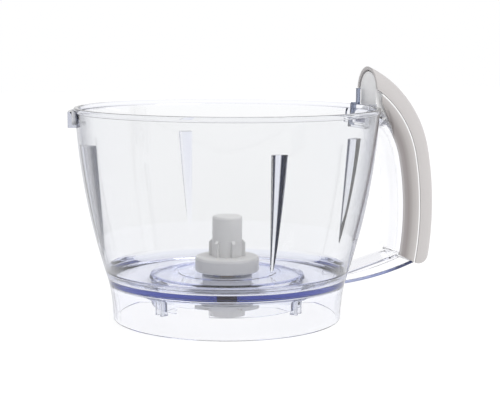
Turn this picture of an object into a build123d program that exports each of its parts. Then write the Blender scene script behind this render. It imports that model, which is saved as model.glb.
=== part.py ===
"""Clear work bowl of a food processor, with its handle and its drive spindle.

Millimetres, +Z up. The origin is on the bowl's axis in the plane that the bowl rests on,
and the handle points along +X. Radii are measured from the bowl's axis.
"""
from build123d import *
from math import cos, radians, sin, sqrt
import os

# Bowl shell: outer radii and heights of its profile
RIM_RADIUS, RIM_HEIGHT = 100.3, 140.0
WAIST_RADIUS, WAIST_HEIGHT = 92.6, 76.5
SKIRT_TOP_RADIUS, SKIRT_FOOT_RADIUS = 79.4, 76.2
SKIRT_MID_RADIUS, SKIRT_MID_HEIGHT = 77.0, 12.5
WALL = 2.4
BEAD_HEIGHT, BEAD_OUT = 3.4, 0.7

# Floor
FLOOR_UNDER, FLOOR_TOP = 25.0, 29.0
DISC_RADIUS, DISC_RISE = 51.0, 1.4
BOSS_RADIUS, BOSS_TOP, BOSS_FOOT = 9.0, 37.0, 16.0

# Ribs inside the wall
RIB_COUNT, RIB_TURN = 4, -2.0
RIB_TOP_HEIGHT, RIB_TOP_AXIS, RIB_TOP_RADIUS = 118.0, 92.6, 4.2
RIB_FOOT_HEIGHT, RIB_FOOT_AXIS, RIB_FOOT_RADIUS = 46.0, 84.0, 1.4

# Locking ring under the floor, and its channel-shaped posts
RING_RADIUS, RING_WALL, RING_FOOT = 50.5, 2.0, 9.0
POST_COUNT, POST_TURN, POST_FOOT, POST_WIDTH, POST_DEPTH = 3, 72.0, 6.0, 8.0, 5.0
WINDOW_WIDTH, WINDOW_HEIGHT, WINDOW_TURN = 24.0, 5.0, 30.0

# Lid hook on the side away from the handle
HOOK_AZIMUTH, HOOK_HALF_ANGLE = 160.0, 9.0
HOOK_OUTER, HOOK_THICK, HOOK_FOOT, HOOK_TOP = 105.0, 2.6, 127.0, 137.5

# Handle: its seam follows two arcs in the plane of the handle
LONG_CENTRE, LONG_RADIUS = (-61.5, 66.0), 200.0
BEND_CENTRE, BEND_RADIUS = (65.9, 91.9), 70.0
JOIN_ANGLE, FOOT_ANGLE, TOP_ANGLE = 11.5, -14.0, 68.0
HANDLE_HALF_WIDTH, SHELL = 15.0, 2.0
COVER_OFFSET, COVER_BEND_RADIUS = 0.4, 64.5
LINER_DEPTH, LINER_EDGE_HALF_WIDTH = 12.4, 12.8
CORE_PLATE_HALF_WIDTH, CORE_WEB_HALF_WIDTH, CORE_PLATE = 11.6, 2.6, 2.4
CORE_TOP_GAP, CORE_DEPTH, CORE_DEPTH_AT_TOP, ARM_HALF_WIDTH_TOP = 2.3, 16.6, 8.6, 9.0
MOUTH_PLANE, MOUTH_DEPTH, MOUTH_GAP = 103.0, 10.0, 0.8
HEEL_INNER, HEEL_OUTER = (100.0, 47.5), (136.5, 29.2)
HEEL_ROUND_MIDDLE, HEEL_ROUND_TOP = (144.8, 30.4), (151.0, 36.6)
ARM_HALF_WIDTH, ARM_WALL = 11.5, 2.0
LATCH_HALF_ANGLE, LATCH_FOOT, LATCH_OUT = 12.0, 127.0, 2.2
CHEEK_NEAR, CHEEK_FAR, CHEEK_OUT, CHEEK_FOOT, CHEEK_TOP = 12.8, 14.8, 102.9, 124.0, 141.0
STEM_NEAR, STEM_FAR, STEM_INNER, STEM_OUTER, STEM_TOP = 6.8, 9.6, 98.9, 101.3, 151.0
SCREW_HEIGHTS, SCREW_HEAD_RADIUS, SCREW_HEAD_HEIGHT, SCREW_RADIUS, SCREW_LENGTH = (50.0, 88.0), 3.2, 2.2, 1.6, 9.0

# Drive line on the bowl's axis
SHAFT_RADIUS, SHAFT_FOOT, SHAFT_TOP = 4.0, 13.0, 62.0
RUNNING_GAP, CLEARANCE = 0.05, 0.5
BUSH_RADIUS, BUSH_FOOT, BUSH_TOP = 6.0, 17.0, 33.5
SEAL_TOP = 36.6
HUB_RADIUS, HUB_FOOT, HUB_TOP, HUB_HOLLOW_RADIUS, HUB_HOLLOW_TOP = 21.4, 31.0, 41.0, 11.0, 38.2
POST_RADIUS, POST_TOP, POST_FOOT_RADIUS = 10.0, 68.0, 10.3
FIN_COUNT, FIN_TURN, FIN_OUTER, FIN_WIDTH, FIN_TOP = 6, 31.0, 12.2, 2.4, 52.0
COUPLING_CUP_RADIUS, COUPLING_CUP_INNER, COUPLING_CUP_TOP, COUPLING_CUP_FLOOR = 16.5, 10.2, 24.2, 15.2
COUPLING_FLANGE_RADIUS, COUPLING_FLANGE_FOOT, COUPLING_FLANGE_TOP = 21.4, 9.0, 13.2
SOCKET_RADIUS, SOCKET_FOOT, SOCKET_WALL_RADIUS, KEYWAY_WIDTH, KEYWAY_DEPTH = 5.0, 4.0, 12.0, 2.0, 1.6


def side_plane_face(*edges):
    """A face in the plane of the handle, from edges given as (radius, height)."""
    return Plane.XZ * make_face(Curve() + list(edges))


def turned(*edges):
    """A solid of revolution about the bowl's axis from a closed (radius, height) outline."""
    return revolve(side_plane_face(*edges), axis=Axis.Z)


def turned_polygon(*points):
    """A solid of revolution from straight edges through (radius, height) points."""
    return turned(Polyline(*points, close=True))


def slab(points, half_width):
    """A plate as wide as the given half width either side of the handle's plane."""
    return extrude(side_plane_face(Polyline(*points, close=True)), amount=half_width, both=True)


def polar(centre, radius, angle):
    """The (radius, height) point at an angle in degrees on an arc in the handle's plane."""
    return centre[0] + radius * cos(radians(angle)), centre[1] + radius * sin(radians(angle))


def sector(outer, inner, foot, top, azimuth, half_angle):
    """A piece of a ring about the bowl's axis."""
    start = Rot(0, 0, azimuth - half_angle)
    outline = Polyline((inner, foot), (outer, foot), (outer, top), (inner, top), close=True)
    return start * revolve(side_plane_face(outline), axis=Axis.Z, revolution_arc=2 * half_angle)


def tube(outer, inner, foot, top):
    """A plain ring or washer about the bowl's axis."""
    return turned_polygon((inner, foot), (outer, foot), (outer, top), (inner, top))


def shell_outline(inset):
    """Solid of the bowl's outer shape, taken in by the given wall, from z 0 to the rim."""
    foot = ThreePointArc((SKIRT_FOOT_RADIUS - inset, 0),
                         (SKIRT_MID_RADIUS - inset, SKIRT_MID_HEIGHT),
                         (SKIRT_TOP_RADIUS - inset, FLOOR_UNDER + 1))
    side = ThreePointArc(foot @ 1, (WAIST_RADIUS - inset, WAIST_HEIGHT), (RIM_RADIUS - inset, RIM_HEIGHT))
    return turned(foot, side, Line(side @ 1, (0, RIM_HEIGHT)), Line((0, RIM_HEIGHT), (0, 0)),
                  Line((0, 0), foot @ 0))


OUTSIDE, INSIDE = shell_outline(0), shell_outline(WALL)


def disc_between(foot, top, radius=130):
    """A disc used to take a level slice out of another solid."""
    return turned_polygon((0, foot), (radius, foot), (radius, top), (0, top))


def bowl_wall():
    """Flared wall above the floor, with a bead outside the rim."""
    wall = (OUTSIDE - INSIDE) & disc_between(FLOOR_UNDER, RIM_HEIGHT)
    bead_foot = RIM_HEIGHT - BEAD_HEIGHT
    bead = turned_polygon((RIM_RADIUS - WALL, bead_foot), (RIM_RADIUS + BEAD_OUT, bead_foot + BEAD_OUT),
                          (RIM_RADIUS + BEAD_OUT, RIM_HEIGHT), (RIM_RADIUS - WALL, RIM_HEIGHT))
    return wall + (bead - INSIDE)


def base_skirt():
    """Short wall below the floor, which drops over the motor base."""
    return (OUTSIDE - INSIDE) & disc_between(0, FLOOR_UNDER)


def bowl_floor():
    """Floor with a raised disc and the tall boss that holds the shaft's bush."""
    plate = INSIDE & disc_between(FLOOR_UNDER, FLOOR_TOP)
    disc_top = FLOOR_TOP + DISC_RISE
    disc = turned_polygon((0, FLOOR_TOP), (DISC_RADIUS, FLOOR_TOP), (DISC_RADIUS - DISC_RISE, disc_top),
                          (0, disc_top))
    boss = disc_between(BOSS_FOOT, BOSS_TOP, BOSS_RADIUS)
    return plate + disc + boss - disc_between(BOSS_FOOT, BOSS_TOP, BUSH_RADIUS)


def wall_ribs():
    """Four tapered ribs inside the wall, which stop the food from turning with the blade."""
    length = sqrt((RIB_TOP_HEIGHT - RIB_FOOT_HEIGHT) ** 2 + (RIB_TOP_AXIS - RIB_FOOT_AXIS) ** 2)
    lean = Vector(RIB_TOP_AXIS - RIB_FOOT_AXIS, 0, RIB_TOP_HEIGHT - RIB_FOOT_HEIGHT)
    middle = Vector((RIB_TOP_AXIS + RIB_FOOT_AXIS) / 2, 0, (RIB_TOP_HEIGHT + RIB_FOOT_HEIGHT) / 2)
    cone = Plane(origin=middle, z_dir=lean) * Cone(RIB_FOOT_RADIUS, RIB_TOP_RADIUS, length)
    rib = (cone & INSIDE) & disc_between(0, RIB_TOP_HEIGHT - RIB_TOP_RADIUS / 4)
    return Compound([Rot(0, 0, RIB_TURN + 360 / RIB_COUNT * k) * rib for k in range(RIB_COUNT)])


def bayonet_ring():
    """Thin ring under the floor with windows in it, where the bowl locks on the motor base."""
    ring = tube(RING_RADIUS, RING_RADIUS - RING_WALL, RING_FOOT, FLOOR_UNDER)
    for k in range(POST_COUNT):
        turn = Rot(0, 0, POST_TURN + 360 / POST_COUNT * k)
        ring -= turn * post_blank()
        window = Pos(RING_RADIUS, 0, RING_FOOT + WINDOW_HEIGHT / 2) * Box(10, WINDOW_WIDTH, WINDOW_HEIGHT)
        ring -= turn * Rot(0, 0, WINDOW_TURN) * window
    return ring


def post_blank():
    """Outer shape of one locking post, before its channel is cut."""
    height = FLOOR_UNDER - POST_FOOT
    return Pos(RING_RADIUS, 0, POST_FOOT + height / 2) * Box(POST_DEPTH, POST_WIDTH, height)


def bayonet_posts():
    """Channel-shaped posts that stand across the locking ring."""
    height = FLOOR_UNDER - POST_FOOT
    channel = Pos(RING_RADIUS + 1, 0, POST_FOOT + height / 2 - 1) * Box(POST_DEPTH, POST_WIDTH - 4, height)
    post = post_blank() - channel
    return Compound([Rot(0, 0, POST_TURN + 360 / POST_COUNT * k) * post for k in range(POST_COUNT)])


def lid_hook():
    """J-shaped catch outside the rim, open at the top, that the lid's edge turns into."""
    plate = sector(HOOK_OUTER, HOOK_OUTER - HOOK_THICK, HOOK_FOOT, HOOK_TOP, HOOK_AZIMUTH, HOOK_HALF_ANGLE)
    web = sector(HOOK_OUTER - HOOK_THICK, 96, HOOK_FOOT, HOOK_FOOT + 2, HOOK_AZIMUTH, HOOK_HALF_ANGLE)
    return plate + web - OUTSIDE


def latch_block():
    """Band of the rim under the handle's mouth, with a sill and two cheeks that guide the lid's tab."""
    band = sector(RIM_RADIUS + LATCH_OUT, 96, LATCH_FOOT, RIM_HEIGHT - BEAD_HEIGHT, 0, LATCH_HALF_ANGLE)
    sill = Pos((90 + CHEEK_OUT) / 2, 0, CHEEK_FOOT + 0.8) * Box(CHEEK_OUT - 90, 2 * CHEEK_FAR, 1.6)
    middle = Pos((90 + CHEEK_OUT) / 2, (CHEEK_NEAR + CHEEK_FAR) / 2, (CHEEK_FOOT + CHEEK_TOP) / 2)
    cheek = middle * Box(CHEEK_OUT - 90, CHEEK_FAR - CHEEK_NEAR, CHEEK_TOP - CHEEK_FOOT)
    return band + sill + cheek + mirror(cheek, about=Plane.XZ) - OUTSIDE - bowl_wall()


def handle_stem():
    """Clear post on the far side of the handle's mouth, from the rim to the mouth."""
    foot = Pos((STEM_INNER + STEM_OUTER) / 2, (STEM_NEAR + STEM_FAR) / 2, (RIM_HEIGHT + STEM_TOP) / 2)
    return foot * Box(STEM_OUTER - STEM_INNER, STEM_FAR - STEM_NEAR, STEM_TOP - RIM_HEIGHT)


def arc_band(centre, outer, inner, start, end, half_width):
    """A curved bar in the handle's plane between two radii and two angles."""
    middle = (start + end) / 2
    edges = (ThreePointArc(*(polar(centre, outer, a) for a in (start, middle, end))),
             Line(polar(centre, outer, end), polar(centre, inner, end)),
             ThreePointArc(*(polar(centre, inner, a) for a in (end, middle, start))),
             Line(polar(centre, inner, start), polar(centre, outer, start)))
    return extrude(side_plane_face(*edges), amount=half_width, both=True)


def seam_path():
    """The two arcs of the seam between cover and liner."""
    return ((LONG_CENTRE, LONG_RADIUS, FOOT_ANGLE, JOIN_ANGLE), (BEND_CENTRE, BEND_RADIUS, JOIN_ANGLE, TOP_ANGLE))


def cover_path():
    """The two arcs that the cover's round section is centred on, tangent where they join."""
    radius = LONG_RADIUS + COVER_OFFSET
    join = polar(LONG_CENTRE, radius, JOIN_ANGLE)
    centre = polar(join, -COVER_BEND_RADIUS, JOIN_ANGLE)
    return ((LONG_CENTRE, radius, FOOT_ANGLE, JOIN_ANGLE), (centre, COVER_BEND_RADIUS, JOIN_ANGLE, TOP_ANGLE + 6))


def carried(path, outline):
    """Carry a section, drawn as (offset outwards, width), along the arcs of a path."""
    whole = None
    for centre, radius, start, end in path:
        out = Vector(cos(radians(start)), 0, sin(radians(start)))
        ahead = Vector(-sin(radians(start)), 0, cos(radians(start)))
        middle = Vector(centre[0], 0, centre[1])
        face = Plane(origin=middle + out * radius, x_dir=out, z_dir=ahead) * outline
        part = revolve(face, axis=Axis(middle, (0, -1, 0)), revolution_arc=end - start)
        whole = part if whole is None else whole + part
    return whole


def seam_band(near, far, half_width=40):
    """Everything between two offsets from the seam, along its whole length."""
    bars = [arc_band(centre, radius + far, radius + near, start, end, half_width)
            for centre, radius, start, end in seam_path()]
    return bars[0] + bars[1]


def liner_section(half_width, edge_half_width, near, far):
    """Section of the liner: a tapered channel on the bowl's side of the seam."""
    return make_face(Polyline((near, -half_width), (-far / 2, -half_width + 0.4), (-far, -edge_half_width),
                              (-far, edge_half_width), (-far / 2, half_width - 0.4), (near, half_width),
                              close=True))


def above_heel(lift):
    """Everything above the handle's slanted, rounded heel and outside the plane of its mouth."""
    heel = ThreePointArc(HEEL_OUTER, HEEL_ROUND_MIDDLE, HEEL_ROUND_TOP)
    back, top = (HEEL_ROUND_TOP[0] + 12, 90), 220
    outline = (Line(HEEL_INNER, HEEL_OUTER), heel, Polyline(heel @ 1, back, (back[0], top),
               (HEEL_INNER[0], top), HEEL_INNER))
    block = Pos(0, 0, lift) * extrude(side_plane_face(*outline), amount=40, both=True)
    return block & (Pos(MOUTH_PLANE + 100, 0, 100) * Box(200, 100, 400))


def handle_cover():
    """White round-backed shell that makes the back of the handle, open at the mouth."""
    outer = carried(cover_path(), Circle(HANDLE_HALF_WIDTH)) & seam_band(0, 30) & above_heel(0)
    inner = carried(cover_path(), Circle(HANDLE_HALF_WIDTH - SHELL)) & above_heel(SHELL)
    return outer - inner


def handle_liner():
    """Grey channel that makes the sides of the handle and closes on the cover at the seam."""
    outer = carried(seam_path(), liner_section(HANDLE_HALF_WIDTH, LINER_EDGE_HALF_WIDTH, 0, LINER_DEPTH))
    pocket = carried(seam_path(), liner_section(HANDLE_HALF_WIDTH - SHELL, LINER_EDGE_HALF_WIDTH - SHELL,
                                                -SHELL, LINER_DEPTH + 1))
    liner = (outer - pocket) & above_heel(0)
    top_cut = arc_band(BEND_CENTRE, BEND_RADIUS - CORE_DEPTH_AT_TOP - 1, 20, 40, 90, 40)
    mouth_cut = Pos(MOUTH_PLANE - 48, 0, 150) * Box(104, 60, 60)
    web_cut = Pos(MOUTH_PLANE - 50 + MOUTH_DEPTH / 2, 0, 150) * Box(110, 2 * (HANDLE_HALF_WIDTH - SHELL), 60)
    return liner - top_cut - mouth_cut - web_cut - liner_screws()


def core_section(plate_outer):
    """T-shaped section of the clear bar: a web with a plate on the fingers' side."""
    plate_inner = plate_outer - CORE_PLATE
    return make_face(Polyline((-CORE_TOP_GAP, -CORE_WEB_HALF_WIDTH), (-plate_inner, -CORE_WEB_HALF_WIDTH),
                              (-plate_inner, -CORE_PLATE_HALF_WIDTH), (-plate_outer, -CORE_PLATE_HALF_WIDTH),
                              (-plate_outer, CORE_PLATE_HALF_WIDTH), (-plate_inner, CORE_PLATE_HALF_WIDTH),
                              (-plate_inner, CORE_WEB_HALF_WIDTH), (-CORE_TOP_GAP, CORE_WEB_HALF_WIDTH),
                              close=True))


def handle_core():
    """Clear bar inside the handle, and its upper arm to the rim of the bowl."""
    bar = carried(((LONG_CENTRE, LONG_RADIUS, FOOT_ANGLE, JOIN_ANGLE), (BEND_CENTRE, BEND_RADIUS, JOIN_ANGLE, 38)),
                  core_section(CORE_DEPTH))
    tip = carried(((BEND_CENTRE, BEND_RADIUS, 37, TOP_ANGLE),), core_section(CORE_DEPTH_AT_TOP))
    arm = slab(((96, 127.5), (110, 127.0), (116, 122.0), (121, 128.0), (113, 132.5), (96, 132.5)),
               ARM_HALF_WIDTH_TOP)
    behind_mouth = Pos(MOUTH_PLANE + MOUTH_DEPTH + 50, 0, 100) * Box(100, 60, 400)
    bars = (bar + tip) & above_heel(SHELL) & behind_mouth
    return bars + (arm - OUTSIDE - latch_block() - mouth_plug()) - liner_screws()


def mouth_plug():
    """Frosted block that fills the open end of the handle, from the cover down to the lid's slot."""
    half_width = HANDLE_HALF_WIDTH - SHELL - MOUTH_GAP
    round_top = carried(cover_path(), Circle(half_width))
    below_seam = arc_band(BEND_CENTRE, BEND_RADIUS + 1, BEND_RADIUS - CORE_DEPTH_AT_TOP, 40, 80, half_width - 0.8)
    block = (round_top & arc_band(BEND_CENTRE, 100, BEND_RADIUS, 40, 80, 40)) + below_seam
    return block & (Pos(MOUTH_PLANE + MOUTH_GAP / 2 + MOUTH_DEPTH / 2, 0, 150) * Box(MOUTH_DEPTH - MOUTH_GAP, 60, 60))


def lower_arm_sides():
    """Lower and upper edge of the lower arm as (radius, height) points."""
    lower = ThreePointArc((70.0, 17.6), (112.0, 22.6), (141.0, 31.6))
    return lower, (124.5, 36.6), (70.0, 22.0)


def handle_lower_arm():
    """Clear arm from the skirt to the foot of the handle, hollow from below."""
    lower, upper_end, upper_start = lower_arm_sides()
    outline = [lower, Line(lower @ 1, upper_end), Line(upper_end, upper_start), Line(upper_start, lower @ 0)]
    arm = extrude(side_plane_face(*outline), amount=ARM_HALF_WIDTH, both=True)
    pocket = Pos(0, 0, -ARM_WALL) * extrude(side_plane_face(*outline), amount=ARM_HALF_WIDTH - ARM_WALL,
                                            both=True)
    below = slab(((0, -20), (200, -20), (200, 10), (0, 10)), 60)
    arm = arm - pocket - below - OUTSIDE
    pieces = (arm - handle_core() - handle_liner() - handle_cover()).solids()
    return max(pieces, key=lambda piece: piece.volume)


def screw_frame(height):
    """Plane at a screw's seat on the core, looking out along the screw."""
    angle = (height - LONG_CENTRE[1]) / LONG_RADIUS * 180 / 3.14159
    out = Vector(cos(radians(angle)), 0, sin(radians(angle)))
    seat = Vector(LONG_CENTRE[0], 0, LONG_CENTRE[1]) + out * LONG_RADIUS
    return Plane(origin=seat, z_dir=out)


def liner_screws():
    """Screws through the liner's web into the clear core, hidden under the cover."""
    screws = []
    for height in SCREW_HEIGHTS:
        head = Pos(0, 0, SCREW_HEAD_HEIGHT / 2) * Cylinder(SCREW_HEAD_RADIUS, SCREW_HEAD_HEIGHT)
        head -= Pos(0, 0, SCREW_HEAD_HEIGHT) * Box(4, 0.8, 1.4)
        head -= Pos(0, 0, SCREW_HEAD_HEIGHT) * Box(0.8, 4, 1.4)
        shank = Pos(0, 0, -SCREW_LENGTH / 2) * Cylinder(SCREW_RADIUS, SCREW_LENGTH)
        screws.append(screw_frame(height) * (head + shank))
    return Compound(screws)


def shaft_bush():
    """Sintered bush in the boss, flanged at its lower end."""
    bore = SHAFT_RADIUS + RUNNING_GAP
    return tube(BUSH_RADIUS, bore, BUSH_FOOT, BUSH_TOP)


def shaft_seal():
    """Rubber lip seal above the bush, which keeps liquid out of the drive."""
    bore = SHAFT_RADIUS + RUNNING_GAP
    return turned_polygon((bore, BUSH_TOP), (BUSH_RADIUS, BUSH_TOP), (BUSH_RADIUS, SEAL_TOP),
                          (bore + 1.1, SEAL_TOP), (bore + 1.1, BUSH_TOP + 1.0), (bore, BUSH_TOP + 1.6))


def drive_spindle():
    """White spindle: a hub over the boss, a fluted foot and the plain post for the tools."""
    body = turned_polygon((0, HUB_FOOT), (HUB_RADIUS - 0.8, HUB_FOOT), (HUB_RADIUS, HUB_FOOT + 0.8),
                          (HUB_RADIUS, HUB_TOP - 2.0), (HUB_RADIUS - 0.6, HUB_TOP - 0.6),
                          (HUB_RADIUS - 2.0, HUB_TOP), (POST_FOOT_RADIUS, HUB_TOP),
                          (POST_FOOT_RADIUS, FIN_TOP), (POST_RADIUS, FIN_TOP),
                          (POST_RADIUS, POST_TOP - 1.6), (POST_RADIUS - 0.5, POST_TOP - 0.5),
                          (POST_RADIUS - 1.6, POST_TOP), (0, POST_TOP))
    for k in range(FIN_COUNT):
        fin = slab(((SHAFT_RADIUS + 2, HUB_TOP - 1), (FIN_OUTER, HUB_TOP - 1), (FIN_OUTER, FIN_TOP - 1.8),
                    (POST_FOOT_RADIUS, FIN_TOP), (SHAFT_RADIUS + 2, FIN_TOP)), FIN_WIDTH / 2)
        body += Rot(0, 0, FIN_TURN + 360 / FIN_COUNT * k) * fin
    hollow = disc_between(HUB_FOOT, HUB_HOLLOW_TOP, HUB_HOLLOW_RADIUS)
    bore = disc_between(HUB_FOOT, SHAFT_TOP, SHAFT_RADIUS)
    return body - hollow - bore


def drive_shaft():
    """Steel shaft through the floor, from the coupling into the post."""
    end = 0.6
    return turned_polygon((0, SHAFT_FOOT), (SHAFT_RADIUS, SHAFT_FOOT), (SHAFT_RADIUS, SHAFT_TOP - end),
                          (SHAFT_RADIUS - end, SHAFT_TOP), (0, SHAFT_TOP))


def drive_coupling():
    """White coupling under the floor: a cup round the boss over a slotted flange and a socket."""
    cup_floor, socket_top = COUPLING_CUP_FLOOR, SHAFT_FOOT
    body = turned_polygon((SOCKET_RADIUS, SOCKET_FOOT), (SOCKET_WALL_RADIUS, SOCKET_FOOT),
                          (SOCKET_WALL_RADIUS, COUPLING_FLANGE_FOOT),
                          (COUPLING_FLANGE_RADIUS, COUPLING_FLANGE_FOOT),
                          (COUPLING_FLANGE_RADIUS, COUPLING_FLANGE_TOP),
                          (COUPLING_CUP_RADIUS, COUPLING_FLANGE_TOP), (COUPLING_CUP_RADIUS, COUPLING_CUP_TOP),
                          (COUPLING_CUP_INNER, COUPLING_CUP_TOP), (COUPLING_CUP_INNER, cup_floor),
                          (SHAFT_RADIUS, cup_floor), (SHAFT_RADIUS, socket_top),
                          (SOCKET_RADIUS, socket_top))
    height = COUPLING_FLANGE_FOOT - SOCKET_FOOT
    for k in range(2):
        way = Pos(SOCKET_RADIUS + KEYWAY_DEPTH / 2 - 0.5, 0, SOCKET_FOOT + height / 2)
        body -= Rot(0, 0, 180 * k) * way * Box(KEYWAY_DEPTH + 1, KEYWAY_WIDTH, height)
    for k in range(FIN_COUNT):
        slot = Pos(COUPLING_FLANGE_RADIUS - 3, 0, COUPLING_FLANGE_FOOT + 1) * Box(6.4, 4, 2.4)
        body -= Rot(0, 0, FIN_TURN + 360 / FIN_COUNT * k) * slot
    return body


def retaining_clip():
    """Spring clip on the shaft under the boss, open at one side."""
    ring = tube(SHAFT_RADIUS + 2.4, SHAFT_RADIUS, COUPLING_CUP_FLOOR, COUPLING_CUP_FLOOR + 0.6)
    return ring - Pos(SHAFT_RADIUS + 2, 0, COUPLING_CUP_FLOOR) * Box(6, 4, 4)


def thrust_washer():
    """Washer in the hub that takes the spindle's weight off the seal."""
    return tube(BOSS_RADIUS - 0.4, SHAFT_RADIUS, BOSS_TOP + 0.3, HUB_HOLLOW_TOP)


PARTS = (bowl_wall, bowl_floor, base_skirt, wall_ribs, bayonet_ring, bayonet_posts, lid_hook, latch_block,
         handle_core, handle_stem, mouth_plug, handle_lower_arm, handle_cover, handle_liner, liner_screws,
         shaft_bush, shaft_seal, drive_spindle, drive_shaft, drive_coupling, retaining_clip, thrust_washer)

os.makedirs("parts", exist_ok=True)
for make in PARTS:
    shape = make()
    export_step(shape, f"parts/{make.__name__}.step")
    print(make.__name__, round(shape.volume), "mm3")
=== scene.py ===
# %% [markdown]
# # Clear work bowl of a food processor
#
# The object is one clear moulding (bowl, floor, skirt, ribs, locking ring, handle bar) that
# carries a white handle and a white spindle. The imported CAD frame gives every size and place.
# Opaque pieces mostly keep their CAD shape and get a better finish. The clear pieces are made
# again here, because light goes through them: clear plastic only looks right as one closed
# skin with rounded edges and no faces hidden inside it.

# %% Load the frame and keep its box
import bpy
import math
import numpy as np
from mathutils import Matrix, Vector


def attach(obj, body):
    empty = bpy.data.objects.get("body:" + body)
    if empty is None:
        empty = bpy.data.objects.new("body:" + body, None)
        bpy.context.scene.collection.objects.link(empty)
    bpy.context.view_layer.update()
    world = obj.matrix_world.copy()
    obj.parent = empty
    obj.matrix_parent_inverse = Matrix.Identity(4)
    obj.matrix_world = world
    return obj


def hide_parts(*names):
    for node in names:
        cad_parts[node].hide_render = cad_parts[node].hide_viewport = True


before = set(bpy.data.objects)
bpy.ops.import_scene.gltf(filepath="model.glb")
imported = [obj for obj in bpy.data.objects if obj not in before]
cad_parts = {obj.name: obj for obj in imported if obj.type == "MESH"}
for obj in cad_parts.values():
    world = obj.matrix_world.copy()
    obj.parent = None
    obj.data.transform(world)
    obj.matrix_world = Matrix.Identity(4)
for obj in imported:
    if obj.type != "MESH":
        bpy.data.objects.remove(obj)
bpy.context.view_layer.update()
MM = 0.001

# %% [markdown]
# ## Small tools
#
# Every new piece is a surface given by a formula on a grid of two parameters, so one helper
# turns a whole array of points into a mesh. A second helper sweeps a closed section through
# stations and closes both ends, and a third gives the points of a circular arc.

# %% Mesh helpers
def mesh_object(name, points, quads, caps=(), sharp=30.0):
    """Object from an array of points in mm and its faces, smooth except over sharp corners."""
    mesh = bpy.data.meshes.new(name)
    faces = [tuple(face) for face in quads.tolist()] + [tuple(cap) for cap in caps]
    mesh.from_pydata((np.asarray(points) * MM).tolist(), [], faces)
    mesh.validate()
    mesh.polygons.foreach_set("use_smooth", np.ones(len(mesh.polygons), bool))
    mesh.set_sharp_from_angle(angle=math.radians(sharp))
    piece = bpy.data.objects.new(name, mesh)
    bpy.context.scene.collection.objects.link(piece)
    return piece


def grid_quads(rows, columns, wrap_rows, wrap_columns):
    """Faces between neighbouring points of a rows by columns grid, wrapped round where asked."""
    i = np.arange(rows if wrap_rows else rows - 1)[:, None]
    j = np.arange(columns if wrap_columns else columns - 1)[None, :]
    i_next, j_next = (i + 1) % rows, (j + 1) % columns
    corners = (i * columns + j, i * columns + j_next, i_next * columns + j_next, i_next * columns + j)
    return np.stack([np.broadcast_to(c, (i.size, j.size)) for c in corners], -1).reshape(-1, 4)


def outward(piece):
    """Turn the faces of a closed piece outwards by the sign of its enclosed volume."""
    mesh = piece.data
    mesh.calc_loop_triangles()
    corner = np.empty(len(mesh.vertices) * 3)
    mesh.vertices.foreach_get("co", corner)
    corner = corner.reshape(-1, 3)
    tri = np.empty(len(mesh.loop_triangles) * 3, int)
    mesh.loop_triangles.foreach_get("vertices", tri)
    a, b, c = (corner[tri.reshape(-1, 3)[:, k]] for k in range(3))
    volume = float(np.einsum("ij,ij->i", a, np.cross(b, c)).sum() / 6)
    if volume < 0:
        mesh.flip_normals()
    print(piece.name, "faces", len(mesh.polygons), "volume ml", round(abs(volume) * 1e6, 2))
    return piece


def swept(name, stations, sharp=30.0):
    """Closed solid through stations, an array (stations, points round the section, xyz) in mm."""
    stations = np.asarray(stations, float)
    count, around = stations.shape[:2]
    quads = grid_quads(count, around, False, True)
    caps = (range(around), range((count - 1) * around, count * around))
    return outward(mesh_object(name, stations.reshape(-1, 3), quads, caps, sharp))


def arc(start, middle, end, count):
    """Points on the circle through three points: centre where their bisectors cross."""
    (ax, ay), (bx, by), (cx, cy) = start, middle, end
    d = 2 * (ax * (by - cy) + bx * (cy - ay) + cx * (ay - by))
    a2, b2, c2 = ax * ax + ay * ay, bx * bx + by * by, cx * cx + cy * cy
    x = (a2 * (by - cy) + b2 * (cy - ay) + c2 * (ay - by)) / d
    y = (a2 * (cx - bx) + b2 * (ax - cx) + c2 * (bx - ax)) / d
    angles = np.unwrap([math.atan2(ay - y, ax - x), math.atan2(by - y, bx - x), math.atan2(cy - y, cx - x)])
    turn = np.linspace(angles[0], angles[2], count)
    radius = math.hypot(ax - x, ay - y)
    return np.c_[x + radius * np.cos(turn), y + radius * np.sin(turn)]


def rounded(corners, radius, steps=4):
    """Closed outline with each corner cut back by radius and bridged by a quadratic curve."""
    corners = np.asarray(corners, float)
    before, after = np.roll(corners, 1, 0) - corners, np.roll(corners, -1, 0) - corners
    reach_in = np.minimum(radius, np.linalg.norm(before, axis=1) / 2)[:, None]
    reach_out = np.minimum(radius, np.linalg.norm(after, axis=1) / 2)[:, None]
    first = corners + before / np.linalg.norm(before, axis=1)[:, None] * reach_in
    last = corners + after / np.linalg.norm(after, axis=1)[:, None] * reach_out
    t = np.linspace(0, 1, steps + 1)[None, :, None]
    curve = (1 - t) ** 2 * first[:, None] + 2 * t * (1 - t) * corners[:, None] + t ** 2 * last[:, None]
    return curve.reshape(-1, 2)


# %% [markdown]
# ## The clear bowl
#
# Wall, floor, skirt, ribs and locking ring are one moulding. A profile that starts at the rim,
# goes down the outside, under the floor, up through the hole of the boss and back up the
# inside is a closed loop. Turned about the axis it gives one closed skin. Ribs, windows and the
# thick band under the handle are changes of radius or height that depend on the angle, so they
# need no cutting and leave no hidden faces.

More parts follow.
